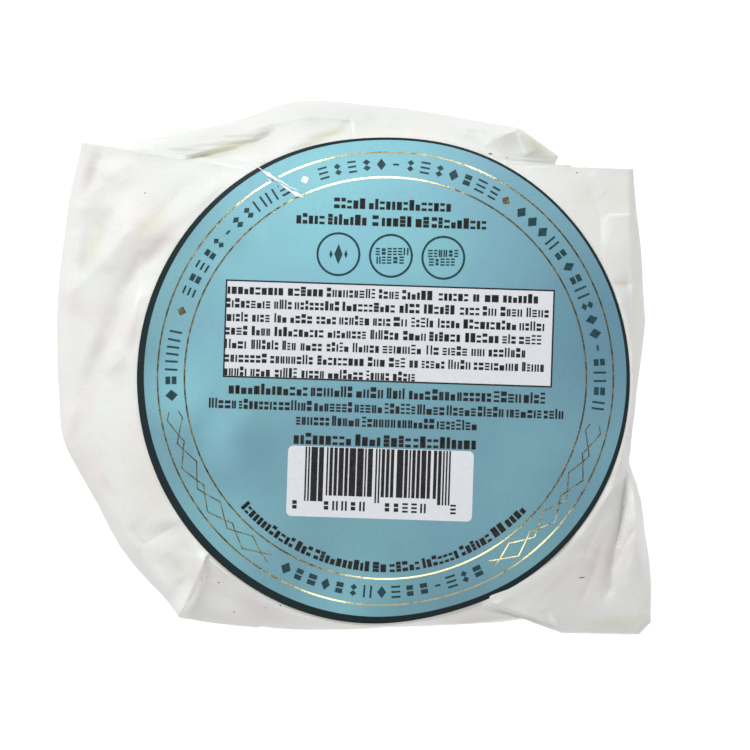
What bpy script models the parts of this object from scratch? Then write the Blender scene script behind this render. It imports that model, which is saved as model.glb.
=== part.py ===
# Small round soft cheese, wrapped in folded white paper and closed with a round label.
# It lies on its smooth face with the label up. Sizes are in millimetres and are scaled to metres
# where a vertex is placed. Plan positions are measured from the label's centre.

import math
from collections import namedtuple

import bmesh
import bpy
from mathutils import Vector, noise

MM = 0.001

# Driving dimensions, in millimetres
LABEL_RADIUS = 44.45
LABEL_THICKNESS = 0.3
LABEL_GAP = 0.3  # clear air between the label and the paper under it
FACE_HEIGHT = 24.0  # underside of the label at its centre
LABEL_CENTRE = Vector((5.4, -2.35))  # from the middle of the whole pack
CHEESE_CENTRE = Vector((-5.4, 2.35))
CHEESE_RADIUS = 47.5
WRAP_THICKNESS = 0.3  # layers of paper against the cheese's side
FOOT_RADIUS = 45.0  # flat part of the face that the pack lies on
FOOT_LIFT = 1.6  # height where the side wall turns in to the foot
LAYER_STEP = 0.5  # how far a lower sheet of paper lies under the one folded over it
TUCK_RADIUS = 44.9  # up to here the paper follows the label over it
DOME = 0.35  # the middle of the label stands this much over its rim

# Where the label bends down over the shoulder: direction, half width, depth at its rim
LABEL_BENDS = ((91.0, 27.0, 3.4), (285.0, 24.0, 3.0))
BEND_START = 33.0

# The paper's outline, anticlockwise. x, y: furthest point in plan. height: its height.
# inset, shoulder: how far in, and how high, the upper face turns down to the wall.
# angle: where this fold reaches the label. under: 1 for a sheet that others are folded over.
# sharp: 1 for a creased corner.
Station = namedtuple("Station", "x y height inset shoulder angle under sharp")
OUTLINE = (
    Station(47.0, 2.6, 12.0, 2.0, 20.0, 3.0, 0, 0),
    Station(48.1, 11.7, 12.0, 2.6, 20.5, 14.0, 0, 0),
    Station(45.2, 38.0, 19.0, 0.7, 20.5, 59.5, 0, 1),
    Station(33.0, 36.4, 14.0, 1.5, 17.5, 59.9, 0.4, 1),
    Station(34.2, 38.9, 15.0, 0.8, 17.0, 62.4, 0.4, 1),
    Station(30.6, 37.0, 10.0, 2.5, 13.5, 62.8, 1, 1),
    Station(32.3, 41.0, 9.0, 3.4, 14.0, 64.0, 1, 1),
    Station(25.2, 45.7, 14.0, 1.8, 18.5, 68.5, 1, 1),
    Station(6.0, 49.4, 12.0, 3.2, 17.5, 86.0, 1, 0),
    Station(-12.9, 51.4, 12.0, 3.6, 18.0, 103.0, 1, 0),
    Station(-16.6, 51.2, 12.0, 3.6, 18.5, 106.0, 1, 0),
    Station(-28.3, 46.9, 12.0, 3.6, 18.0, 114.5, 1, 0),
    Station(-44.7, 43.7, 12.0, 2.5, 15.5, 118.4, 1, 0),
    Station(-49.8, 40.2, 12.0, 2.5, 14.5, 119.1, 1, 1),
    Station(-54.5, 42.8, 20.0, 0.7, 21.0, 119.8, 0, 1),
    Station(-56.9, 34.4, 17.0, 1.8, 20.5, 136.0, 0, 0),
    Station(-59.9, 14.5, 12.0, 2.4, 18.5, 160.0, 0, 0),
    Station(-59.7, -0.2, 12.0, 2.4, 17.5, 178.0, 0, 0),
    Station(-59.0, -11.2, 12.0, 2.4, 17.5, 190.0, 0, 0),
    Station(-46.7, -33.3, 12.0, 2.4, 18.5, 214.0, 0, 0),
    Station(-39.8, -39.8, 13.0, 1.6, 18.0, 221.0, 0, 0),
    Station(-37.2, -43.5, 15.0, 0.7, 16.5, 225.0, 0, 1),
    Station(-35.7, -44.2, 10.0, 8.0, 20.0, 225.8, 1, 1),
    Station(-31.1, -45.1, 9.0, 7.6, 20.0, 231.5, 1, 0),
    Station(-20.9, -46.0, 9.0, 4.2, 19.0, 244.5, 1, 0),
    Station(-14.5, -46.2, 9.0, 2.6, 18.0, 252.0, 1, 0),
    Station(-7.1, -46.1, 9.0, 1.6, 17.0, 260.0, 1, 0),
    Station(9.5, -45.3, 9.0, 1.0, 16.0, 279.0, 1, 0),
    Station(17.8, -44.9, 9.0, 1.2, 15.0, 285.5, 1, 0),
    Station(26.6, -44.2, 9.0, 1.8, 14.0, 291.0, 1, 0),
    Station(29.4, -43.2, 8.0, 2.0, 12.0, 293.3, 1, 1),
    Station(32.5, -46.5, 13.0, 0.7, 14.5, 294.0, 0, 1),
    Station(46.8, -46.7, 13.0, 0.8, 15.0, 312.0, 0, 1),
    Station(48.9, -44.5, 13.0, 0.8, 15.0, 316.0, 0, 1),
    Station(49.1, -36.1, 12.0, 1.6, 16.5, 322.0, 0, 0),
    Station(47.1, -22.2, 13.0, 1.4, 18.5, 335.0, 0, 0),
    Station(44.6, -15.1, 17.0, 0.7, 20.5, 341.6, 0, 1),
)

# Long soft folds in the upper face, from start to end in plan. Those that sink have a negative rise.
Fold = namedtuple("Fold", "start end half_width rise")
FOLDS = (
    # left flap
    Fold((-56.1, -3.5), (-48.1, 14.3), 2.2, -1.3),
    Fold((-48.1, 14.3), (-43.1, 23.0), 2.0, -1.3),
    Fold((-43.1, 23.0), (-27.5, 36.5), 1.7, -0.9),
    Fold((-57.8, 14.3), (-44.0, 29.0), 2.8, 0.9),
    Fold((-55.6, 18.5), (-49.2, 30.3), 2.0, -0.8),
    Fold((-55.6, 31.6), (-45.1, 39.7), 2.2, 0.8),
    Fold((-44.7, 25.2), (-39.1, 31.2), 2.0, -0.7),
    Fold((-49.6, 1.3), (-44.7, 14.3), 1.4, 0.8),
    Fold((-52.3, 41.5), (-55.0, 32.5), 1.3, -0.7),
    Fold((-45.7, -29.0), (-37.6, -27.0), 1.8, -0.7),
    # top sheet, where one pleat lies against the next
    Fold((-19.5, 46.6), (-36.7, 41.8), 1.2, 0.7),
    Fold((-19.5, 44.6), (-36.7, 39.6), 1.2, -0.8),
    Fold((-14.0, 43.8), (-5.5, 46.4), 1.5, -0.6),
    # right flap
    Fold((37.9, 37.5), (40.2, 33.9), 1.2, 0.4),
    Fold((36.9, 34.3), (39.3, 25.2), 1.6, -0.5),
    Fold((42.6, 29.6), (42.9, 21.5), 1.8, 0.5),
    Fold((40.5, 17.3), (45.0, 17.5), 1.2, -0.6),
    # lower right flap, fanning out from its upper corner
    Fold((44.2, -16.5), (42.6, -30.0), 1.4, -1.4),
    Fold((42.6, -30.0), (40.4, -40.0), 1.6, -0.7),
    Fold((45.3, -18.0), (46.0, -37.0), 1.8, 0.9),
    Fold((43.2, -16.0), (33.5, -31.0), 1.6, 0.8),
    Fold((42.5, -18.5), (37.0, -35.0), 1.5, -0.8),
)

FOLD_FADE = 0.4  # share of its length over which a fold dies away at each end

COLUMNS = 240  # round the pack
LABEL_COLUMNS = 96
LABEL_RINGS = (12.0, 24.0, 34.0, 39.5)  # radii that the label and the paper under it share
LABEL_OUTER_RINGS = (42.5, LABEL_RADIUS)
FACE_STEPS = (0.13, 0.28, 0.43, 0.58, 0.73, 0.88, 1.0)  # from the label's rim to the shoulder
BULGE_STEPS = (0.55, 1.0)  # from the shoulder to the outline
WALL_STEPS = (0.22, 0.45, 0.68, 0.88, 1.0)  # from the outline to the foot
FOOT_RINGS = (0.7, 0.35)  # shares of the foot's radius

CRUMPLE = 0.4  # how far the dents in the upper face reach
CRUMPLE_SIZE = 8.0
CRUMPLE_MEAN = 0.25  # keeps the dents about zero on average
FINE_CRUMPLE = 0.5  # height of the finer dents, as a share of the coarse ones
FINENESS = 2.1  # how many of them lie across a coarse one
FINE_PLACE = Vector((7.0, 3.0, 5.0))
WALL_CRUMPLE = 2.6
WALL_STRETCH = 0.35  # dents in the wall are drawn out upwards
MOST_SWELL = 0.6  # how far the turned-down edge rounds out between shoulder and outline
SWELL_SHARE = 0.3  # the same as a share of its inset, where that is less
ROLL_OFF = 1.35  # how late the uppermost sheet turns down, 1 for a straight slope
CALM_RIM = 0.6  # the paper lies smooth this far out from the label's rim
CALM_FADE = 2.6  # and its relief grows to full height over this much more
NEIGHBOURS = (-2, -1, 0, 1, 2)  # columns that an uncreased stretch of outline is rounded over
LEAST_TURN = 0.15  # degrees between two columns at the foot
SHARP_ANGLE = 38.0  # a fold turned by more than this shades as a crease

PAPER_COLOUR = (0.80, 0.81, 0.76)
PAPER_ROUGHNESS = 0.62
LABEL_COLOUR = (0.21, 0.42, 0.50)
LABEL_ROUGHNESS = 0.4


def clear_scene():
    for obj in list(bpy.data.objects):
        bpy.data.objects.remove(obj)


def mix(a, b, share):
    return a + (b - a) * share


def smooth_step(value):
    value = max(0.0, min(1.0, value))
    return value * value * (3.0 - 2.0 * value)


def direction(degrees):
    return Vector((math.cos(math.radians(degrees)), math.sin(math.radians(degrees))))


def bend_at(degrees):
    # depth at the rim of the label's bend in this direction
    depth = 0.0
    for middle, half_width, most in LABEL_BENDS:
        away = (degrees - middle + 180.0) % 360.0 - 180.0
        depth += most * math.exp(-((away / half_width) ** 2))
    return depth


def label_point(radius, degrees):
    # a point of the label's underside. Paper that bends down also draws in, which shortens its reach.
    depth = bend_at(degrees)
    span = LABEL_RADIUS - BEND_START
    along = max(0.0, radius - BEND_START)
    drawn_in = 2.0 * depth**2 * along**3 / (3.0 * span**4)
    height = FACE_HEIGHT - depth * (along / span) ** 2 - DOME * (radius / LABEL_RADIUS) ** 2
    plan = direction(degrees) * (radius - drawn_in)
    return Vector((plan.x, plan.y, height))


def fold_height(plan):
    # the long folds, each a rounded ridge or valley that fades out at both ends
    height = 0.0
    for fold in FOLDS:
        start = Vector(fold.start)
        run = Vector(fold.end) - start
        share = (plan - start).dot(run) / run.length_squared
        aside = (plan - start - run * share).length
        fade = smooth_step(share / FOLD_FADE + 0.5) * smooth_step((1.0 - share) / FOLD_FADE + 0.5)
        height += fold.rise * fade * math.exp(-((aside / fold.half_width) ** 2))
    return height


def crumple(point):
    # dents with rounded hollows and a crease where two meet
    coarse = abs(noise.noise(point / CRUMPLE_SIZE))
    fine = abs(noise.noise(point * FINENESS / CRUMPLE_SIZE + FINE_PLACE))
    return CRUMPLE_MEAN - coarse - FINE_CRUMPLE * fine


def outline_columns():
    # spreads the columns along the outline's straight runs, with one on each station
    runs = []
    for index, start in enumerate(OUTLINE):
        end = OUTLINE[(index + 1) % len(OUTLINE)]
        runs.append((start, end, math.hypot(end.x - start.x, end.y - start.y)))
    total = sum(length for _, _, length in runs)
    counts = [max(1, round(COLUMNS * length / total)) for _, _, length in runs]
    longest = counts.index(max(counts))
    counts[longest] += COLUMNS - sum(counts)
    columns = []
    for (start, end, _), count in zip(runs, counts):
        turn = (end.angle - start.angle) % 360.0
        for step in range(count):
            share = step / count
            column = Station(*(mix(a, b, share) for a, b in zip(start, end)))
            angle = start.angle + turn * share
            columns.append(column._replace(angle=angle, sharp=start.sharp if step == 0 else 0))
    return columns


def softened(columns):
    # rounds the outline where it isn't creased
    count = len(columns)
    soft = []
    for index, column in enumerate(columns):
        near = [columns[(index + step) % count] for step in NEIGHBOURS]
        if any(one.sharp for one in near):
            soft.append(column)
            continue
        middle = [sum(values) / len(near) for values in zip(*near)]
        soft.append(column._replace(x=middle[0], y=middle[1], height=middle[2]))
    return soft


def foot_angles(columns):
    # direction of each column's foot from the cheese's centre, kept in order round the pack
    angles = []
    for column in columns:
        plan = Vector((column.x, column.y)) - CHEESE_CENTRE
        angle = math.degrees(math.atan2(plan.y, plan.x))
        if angles:
            angle += 360.0 * round((angles[-1] - angle) / 360.0)
            angle = max(angle, angles[-1] + LEAST_TURN)
        angles.append(angle)
    return angles


def column_points(column, foot_angle):
    # one line of the paper, from the middle of the upper face over the side to the foot
    points = []
    for radius in LABEL_RINGS + (TUCK_RADIUS,):
        point = label_point(radius, column.angle)
        tucked = smooth_step((radius - BEND_START) / (TUCK_RADIUS - BEND_START))
        point.z -= LABEL_GAP + LAYER_STEP * column.under * tucked
        points.append(point)
    rim = points[-1]
    edge = Vector((column.x, column.y, column.height))
    inward = (rim.xy - edge.xy).normalized() * column.inset
    shoulder = Vector((edge.x + inward.x, edge.y + inward.y, column.shoulder))
    for share in FACE_STEPS:
        point = mix(rim, shoulder, share)
        drop = share if column.under else share**ROLL_OFF
        point.z = mix(rim.z, shoulder.z, drop)
        clear = smooth_step((point.xy.length - LABEL_RADIUS - CALM_RIM) / CALM_FADE)
        point.z += clear * (fold_height(point.xy) + CRUMPLE * crumple(point))
        points.append(point)
    shoulder = points[-1]
    for share in BULGE_STEPS:
        point = mix(shoulder, edge, share)
        swell = min(MOST_SWELL, SWELL_SHARE * column.inset) * math.sin(math.pi * share)
        bulge = -inward.normalized() * swell
        points.append(point + Vector((bulge.x, bulge.y, 0.0)))
    outward = direction(foot_angle)
    corner = CHEESE_CENTRE + outward * (CHEESE_RADIUS + WRAP_THICKNESS)
    foot = CHEESE_CENTRE + outward * FOOT_RADIUS
    control = Vector((corner.x, corner.y, FOOT_LIFT))
    foot = Vector((foot.x, foot.y, 0.0))
    for share in WALL_STEPS:
        point = mix(mix(edge, control, share), mix(control, foot, share), share)
        dent = WALL_CRUMPLE * crumple(Vector((point.x, point.y, point.z * WALL_STRETCH)))
        dent *= math.sin(math.pi * share) ** 2
        points.append(point + Vector((outward.x, outward.y, 0.0)) * dent)
    for share in FOOT_RINGS:
        flat = mix(CHEESE_CENTRE, foot.xy, share)
        points.append(Vector((flat.x, flat.y, 0.0)))
    return points


def ring_sphere(name, columns, rings):
    # a globe whose points the caller moves, with each point's column and ring. Ring 0 is nearest the top.
    mesh = bpy.data.meshes.new(name)
    bm = bmesh.new()
    bmesh.ops.create_uvsphere(bm, u_segments=columns, v_segments=rings + 1, radius=1.0)
    places = {}
    for vert in bm.verts:
        ring = round(math.acos(max(-1.0, min(1.0, vert.co.z))) / math.pi * (rings + 1)) - 1
        turn = math.atan2(vert.co.y, vert.co.x) / (2.0 * math.pi)
        places[vert] = (round(turn * columns) % columns, ring)
    return mesh, bm, places


def finish_object(name, mesh, bm, material):
    bmesh.ops.recalc_face_normals(bm, faces=bm.faces)
    bm.to_mesh(mesh)
    bm.free()
    mesh.shade_smooth()
    mesh.set_sharp_from_angle(angle=math.radians(SHARP_ANGLE))
    mesh.materials.append(material)
    return bpy.data.objects.new(name, mesh)


def in_metres(point):
    return Vector((point.x + LABEL_CENTRE.x, point.y + LABEL_CENTRE.y, point.z)) * MM


def plain_material(name, colour, roughness):
    material = bpy.data.materials.new(name)
    material.use_nodes = True
    shader = material.node_tree.nodes["Principled BSDF"]
    shader.inputs["Base Color"].default_value = (*colour, 1.0)
    shader.inputs["Roughness"].default_value = roughness
    shader.inputs["Metallic"].default_value = 0.0
    return material


def build_paper():
    columns = softened(outline_columns())
    lines = [column_points(*pair) for pair in zip(columns, foot_angles(columns))]
    rings = len(lines[0])
    mesh, bm, places = ring_sphere("paper_wrap", COLUMNS, rings)
    top = label_point(0.0, 0.0) - Vector((0.0, 0.0, LABEL_GAP))
    bottom = Vector((CHEESE_CENTRE.x, CHEESE_CENTRE.y, 0.0))
    for vert, (column, ring) in places.items():
        if ring < 0:
            vert.co = in_metres(top)
        elif ring >= rings:
            vert.co = in_metres(bottom)
        else:
            vert.co = in_metres(lines[column][ring])
    paper = plain_material("white_paper", PAPER_COLOUR, PAPER_ROUGHNESS)
    return finish_object("paper_wrap", mesh, bm, paper)


def build_label():
    radii = LABEL_RINGS + LABEL_OUTER_RINGS
    rings = 2 * len(radii)
    mesh, bm, places = ring_sphere("round_label", LABEL_COLUMNS, rings)
    for vert, (column, ring) in places.items():
        upper = ring < len(radii)
        inner = ring if upper else rings - 1 - ring
        radius = 0.0 if inner < 0 else radii[inner]
        point = label_point(radius, 360.0 * column / LABEL_COLUMNS)
        point.z += LABEL_THICKNESS if upper else 0.0
        vert.co = in_metres(point)
    print_colour = plain_material("label_print", LABEL_COLOUR, LABEL_ROUGHNESS)
    return finish_object("round_label", mesh, bm, print_colour)


def main():
    clear_scene()
    pack = bpy.data.collections.new("wrapped_cheese")
    bpy.context.scene.collection.children.link(pack)
    for obj in (build_paper(), build_label()):
        pack.objects.link(obj)


main()
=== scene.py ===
import math
import random

import bmesh
import bpy
from mathutils import Matrix, Vector, noise


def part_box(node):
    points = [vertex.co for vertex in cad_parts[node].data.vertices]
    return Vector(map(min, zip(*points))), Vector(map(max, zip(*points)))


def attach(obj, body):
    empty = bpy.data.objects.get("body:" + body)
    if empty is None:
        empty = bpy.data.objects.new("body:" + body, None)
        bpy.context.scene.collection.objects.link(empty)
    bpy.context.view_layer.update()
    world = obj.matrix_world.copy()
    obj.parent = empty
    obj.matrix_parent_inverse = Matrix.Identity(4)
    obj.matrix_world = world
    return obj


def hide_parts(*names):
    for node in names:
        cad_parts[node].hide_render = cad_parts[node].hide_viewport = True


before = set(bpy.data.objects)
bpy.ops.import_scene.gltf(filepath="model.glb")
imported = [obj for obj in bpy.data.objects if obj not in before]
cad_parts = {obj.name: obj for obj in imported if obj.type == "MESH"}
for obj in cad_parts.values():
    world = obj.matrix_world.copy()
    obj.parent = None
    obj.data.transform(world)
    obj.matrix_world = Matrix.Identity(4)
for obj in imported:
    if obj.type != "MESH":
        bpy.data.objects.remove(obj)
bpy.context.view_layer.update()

# A soft cheese in folded white paper, lying under its round label. Lengths are in millimetres,
# and are scaled to metres where a mesh is finished. Label places are measured from its centre.

mm = 0.001

# the CAD label says where the label lies and how wide it is
labelLow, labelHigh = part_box("round_label")
labelShape = {
    "radius": (labelHigh.x - labelLow.x) / mm / 2,
    "centre": Vector(((labelHigh.x + labelLow.x) / mm / 2, -2.35)),
    "underside": 24.0,
    "thickness": 0.14,
    "dome": 0.35,
    "bends": ((91.0, 27.0, 3.4), (285.0, 24.0, 3.0)),  # direction, half width, depth at the rim
    "bendStart": 33.0,
    "ripple": 0.07,
    "rippleSize": 13.0,
}

printFrame = {
    "tilt": -1.85,  # the printing is turned by this much on the sticker
    "ringCentre": (0.36, 0.18),
    "groundCentre": (0.32, 0.38),
    "groundRadius": 43.5,
    "ink": 0.03,  # how far printing stands off what it is on
}


def smoothStep(value):
    value = max(0.0, min(1.0, value))
    return value * value * (3 - 2 * value)


def direction(degrees):
    return Vector((math.cos(math.radians(degrees)), math.sin(math.radians(degrees))))


def labelRelief(u, v):
    # low ripples, and the ridge of the crease that runs in from the rim
    size = labelShape["rippleSize"]
    height = labelShape["ripple"] * noise.noise(Vector((u / size, v / size, 3.1)))
    return height + wrinkleHeight(u, v)


def labelPoint(u, v, above=0.0):
    # puts a point of the flat label onto the bent one
    radius = math.hypot(u, v)
    degrees = math.degrees(math.atan2(v, u))
    depth = 0.0
    for middle, halfWidth, most in labelShape["bends"]:
        away = (degrees - middle + 180) % 360 - 180
        depth += most * math.exp(-((away / halfWidth) ** 2))
    span = labelShape["radius"] - labelShape["bendStart"]
    along = max(0.0, radius - labelShape["bendStart"])
    drawnIn = 2 * depth**2 * along**3 / (3 * span**4)
    shrink = 1 - drawnIn / radius if radius else 1.0
    height = labelShape["underside"] - depth * (along / span) ** 2
    height -= labelShape["dome"] * (radius / labelShape["radius"]) ** 2
    height += labelRelief(u, v) + above
    centre = labelShape["centre"]
    return Vector((u * shrink + centre.x, v * shrink + centre.y, height))


# the label's surface is creased where a fold of the paper under it was pressed in
wrinkle = {
    "path": ((-23.9, 39.4), (-21.4, 37.2), (-18.6, 35.4), (-14.6, 32.9)),
    "halfWidth": 0.55,
    "rise": 0.22,
}


def nearPath(point, path):
    # distance from a path of straight runs, and the share of the path that lies before
    best = None
    for index in range(len(path) - 1):
        start, end = Vector(path[index]), Vector(path[index + 1])
        run = end - start
        share = max(0.0, min(1.0, (point - start).dot(run) / run.length_squared))
        offset = point - start - run * share
        side = 1 if run.x * offset.y - run.y * offset.x > 0 else -1
        if best is None or offset.length < abs(best[0]):
            best = (side * offset.length, (index + share) / (len(path) - 1))
    return best


def wrinkleHeight(u, v):
    away, share = nearPath(Vector((u, v)), wrinkle["path"])
    fade = smoothStep(share * 5 + 0.4) * smoothStep((1 - share) * 5)
    return wrinkle["rise"] * fade * math.exp(-((away / wrinkle["halfWidth"]) ** 2))


# materials

def newMaterial(name, roughness, specular=0.5):
    material = bpy.data.materials.new(name)
    material.use_nodes = True
    shader = material.node_tree.nodes["Principled BSDF"]
    shader.inputs["Roughness"].default_value = roughness
    shader.inputs["Specular IOR Level"].default_value = specular
    return material, material.node_tree, shader


def objectPlace(tree):
    return tree.nodes.new("ShaderNodeTexCoord").outputs["Object"]


def noiseNode(tree, scale, detail, roughness=0.5, distortion=0.0):
    node = tree.nodes.new("ShaderNodeTexNoise")
    values = {"Scale": scale, "Detail": detail, "Roughness": roughness, "Distortion": distortion}
    for name, value in values.items():
        node.inputs[name].default_value = value
    tree.links.new(objectPlace(tree), node.inputs["Vector"])
    return node.outputs["Fac"]


def rampNode(tree, source, stops):
    ramp = tree.nodes.new("ShaderNodeValToRGB")
    elements = ramp.color_ramp.elements
    while len(elements) < len(stops):
        elements.new(0.5)
    for element, (place, colour) in zip(elements, stops):
        element.position = place
        element.color = (*colour, 1.0)
    tree.links.new(source, ramp.inputs["Fac"])
    return ramp.outputs["Color"]


def mixNode(tree, factor, first, second, blend="MIX"):
    node = tree.nodes.new("ShaderNodeMix")
    node.data_type = "RGBA"
    node.blend_type = blend
    for socket, value in ((node.inputs[0], factor), (node.inputs[6], first), (node.inputs[7], second)):
        if isinstance(value, bpy.types.NodeSocket):
            tree.links.new(value, socket)
        elif isinstance(value, tuple):
            socket.default_value = (*value, 1.0)
        else:
            socket.default_value = value
    return node.outputs[2]


def rangeNode(tree, source, low, high, toLow, toHigh, course="LINEAR"):
    node = tree.nodes.new("ShaderNodeMapRange")
    node.interpolation_type = course
    ends = {"From Min": low, "From Max": high, "To Min": toLow, "To Max": toHigh}
    for name, value in ends.items():
        node.inputs[name].default_value = value
    tree.links.new(source, node.inputs["Value"])
    return node.outputs["Result"]


def bumpNode(tree, shader, height, strength, distance, under=None):
    node = tree.nodes.new("ShaderNodeBump")
    node.inputs["Strength"].default_value = strength
    node.inputs["Distance"].default_value = distance
    tree.links.new(height, node.inputs["Height"])
    if under:
        tree.links.new(under, node.inputs["Normal"])
    tree.links.new(node.outputs["Normal"], shader.inputs["Normal"])
    return node.outputs["Normal"]


def distanceNode(tree, source, centre):
    node = tree.nodes.new("ShaderNodeVectorMath")
    node.operation = "DISTANCE"
    node.inputs[1].default_value = centre
    tree.links.new(source, node.inputs[0])
    return node.outputs["Value"]


def paintFields(tree, ground, fields, colour):
    # lays a colour softly round each place: centre, inner and outer reach, strength
    for centre, near, far, strength in fields:
        away = distanceNode(tree, objectPlace(tree), [value * mm for value in centre])
        field = rangeNode(tree, away, near * mm, far * mm, strength, 0.0, "SMOOTHSTEP")
        ground = mixNode(tree, field, ground, colour)
    return ground


def paintMarks(tree, ground, marks, colour):
    # lays a colour on in long soft marks: place from the label's centre, half length, half width,
    # turn, strength
    for u, v, long, wide, turn, strength in marks:
        plan = Vector((u, v)) + labelShape["centre"]
        mapping = tree.nodes.new("ShaderNodeMapping")
        mapping.vector_type = "TEXTURE"
        mapping.inputs["Location"].default_value = (plan.x * mm, plan.y * mm, 0.0)
        mapping.inputs["Rotation"].default_value = (0.0, 0.0, math.radians(turn))
        mapping.inputs["Scale"].default_value = (long * mm, wide * mm, 1.0)
        tree.links.new(objectPlace(tree), mapping.inputs["Vector"])
        away = distanceNode(tree, mapping.outputs["Vector"], (0.0, 0.0, 0.0))
        mark = rangeNode(tree, away, 0.0, 1.0, strength, 0.0, "SMOOTHSTEP")
        ground = mixNode(tree, mark, ground, colour)
    return ground


def finishSurface(tree, shader, roughnessFrom, roughness, bumps):
    # roughness that follows a noise, and bumps as (noise, strength, distance), coarse to fine
    rough = rangeNode(tree, roughnessFrom, 0.3, 0.7, *roughness)
    tree.links.new(rough, shader.inputs["Roughness"])
    under = None
    for height, strength, distance in bumps:
        under = bumpNode(tree, shader, height, strength, distance, under)


paperLook = {
    "clean": (0.765, 0.78, 0.758),
    "cream": (0.775, 0.785, 0.70),
    "rose": (0.765, 0.735, 0.72),
    "low": (0.735, 0.70, 0.665),  # painted shade, darker and warmer towards the floor
    "patchScale": 70.0,  # patches about a centimetre across
    "grain": ((0.3, (0.95, 0.95, 0.94)), (0.6, (1.0, 1.0, 1.0))),
    "fibreScale": 2600.0,
    "wrinkleScale": 420.0,
    "roughness": (0.42, 0.6),
    "marksFrom": (0.0105, 0.0145),  # heights: the marks lie on the upper side, not down the walls
    "floorShadeZone": (0.004, 0.015),
    "floorShadeShare": 0.7,
}
# painted shade and painted highlights on the paper, partly also an olive tint of the paper: colour and
# marks, as paintMarks takes them
paperLightAndShadeMarks = (
    ((0.66, 0.72, 0.80), (  # painted cool shade, where layers cross under the top sheet
        (-20.2, 46.2, 3.0, 1.6, 30, 0.55), (-14.2, 48.2, 3.0, 1.6, 10, 0.6),
        (-4.6, 48.6, 5.5, 1.6, -3, 0.6), (4.6, 48.0, 3.0, 1.8, 0, 0.45),
        (14.0, 44.6, 4.0, 1.6, -30, 0.2))),
    ((0.70, 0.722, 0.695), (  # painted shade, on the far wall
        (-6.0, 47.6, 30.0, 5.0, 0, 1.0), (-34.0, 43.4, 14.0, 2.6, 14, 1.0),
        (16.0, 44.0, 9.0, 3.4, -14, 0.7))),
    ((0.60, 0.58, 0.42), (  # olive: painted shade in hollows, under the pleat and on facets turned from the light, and partly an olive tint of the paper
        (-28.2, 42.0, 9.0, 1.5, 17, 0.75), (-11.0, 44.2, 6.0, 1.5, 17, 0.6),
        (28.4, 42.0, 4.6, 2.2, -36, 0.7), (-52.6, 24.4, 7.5, 2.6, 63, 0.45),
        (-41.6, 27.8, 7.0, 3.2, 50, 0.45), (-42.5, -18.0, 10.0, 5.0, -60, 0.24),
        (-37.4, -33.4, 3.4, 2.2, -45, 0.3), (42.6, 17.2, 3.6, 1.0, 0, 0.4),
        (36.0, 34.0, 6.0, 5.0, 0, 0.14), (43.0, -44.6, 9.0, 2.6, 0, 0.35),
        (41.0, -36.0, 6.0, 2.4, 60, 0.16))),
    ((0.62, 0.575, 0.585), (  # mauve: painted shade in valleys and on walls turned from the light
        (-53.0, 38.0, 5.8, 1.8, 72, 0.75), (-51.8, 5.6, 11.0, 2.5, 66, 0.7),
        (-41.6, 23.8, 10.0, 2.2, 48, 0.65), (-47.6, 17.0, 13.0, 2.4, 62, 0.35),
        (-25.0, -41.4, 9.0, 3.4, -24, 0.3), (-54.4, 24.0, 6.0, 1.4, 80, 0.4),
        (-45.3, 8.0, 5.0, 1.4, 80, 0.35), (-48.5, 14.0, 9.0, 5.0, 75, 0.22),
        (-38.6, -26.6, 6.0, 2.2, 12, 0.5), (-56.0, -8.0, 5.0, 1.6, 75, 0.3),
        (-50.4, -19.0, 4.0, 1.6, -55, 0.3), (-44.6, -29.0, 3.4, 1.4, -50, 0.3),
        (36.0, -34.6, 15.0, 8.0, 45, 0.42), (43.6, 10.0, 9.0, 2.6, 88, 0.3),
        (-21.0, -42.4, 9.0, 3.0, -20, 0.16), (38.0, -24.6, 8.0, 1.2, 56, 0.4),
        (41.0, -33.0, 8.0, 1.2, 80, 0.5), (31.0, -37.0, 7.0, 1.0, 45, 0.3),
        (38.6, 22.0, 8.0, 2.2, 100, 0.2), (44.6, -10.0, 6.0, 1.6, 90, 0.3))),
    ((0.30, 0.28, 0.26), (  # shade in tight folds
        (1.0, -45.8, 12.0, 0.8, 0, 0.15), (15.0, -44.6, 8.0, 1.4, 12, 0.15),
        (-33.4, 40.3, 3.6, 0.5, 13, 0.7), (-14.0, 42.4, 5.0, 0.7, 17, 0.3),
        (43.2, -24.5, 9.0, 0.55, 84, 0.35), (26.0, -43.6, 8.0, 0.6, -17, 0.35))),
    ((0.93, 0.94, 0.92), (  # painted highlight, on folded edges and lit facets
        (-32.4, -35.4, 3.8, 0.7, 80, 1.0), (-33.8, -37.8, 5.2, 1.0, 66, 0.6),
        (-34.9, -40.4, 3.6, 0.8, 55, 1.0), (-28.0, 38.6, 4.4, 0.35, -11, 0.8),
        (45.8, -24.5, 10.0, 1.2, -82, 0.5), (30.7, -43.8, 2.4, 0.9, -58, 0.6),
        (42.4, 29.8, 2.8, 0.3, 2, 0.6), (26.0, 40.0, 6.0, 0.4, 0, 0.6), (-5.5, 45.6, 2.2, 0.5, 95, 0.6),
        (-44.2, 15.2, 3.4, 0.6, 74, 0.5), (-36.6, -40.2, 5.0, 2.6, 52, 0.75),
        (-28.4, -41.2, 8.0, 4.0, -28, 0.5), (-41.0, -34.6, 4.0, 2.2, -48, 0.4),
        (47.4, -30.0, 9.0, 1.6, -84, 0.45), (-33.0, -31.2, 4.6, 1.4, -45, 0.35),
        (-46.0, 33.0, 8.0, 4.5, 42, 0.45), (24.9, 43.2, 2.6, 0.4, -70, 0.6))),
)


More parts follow.
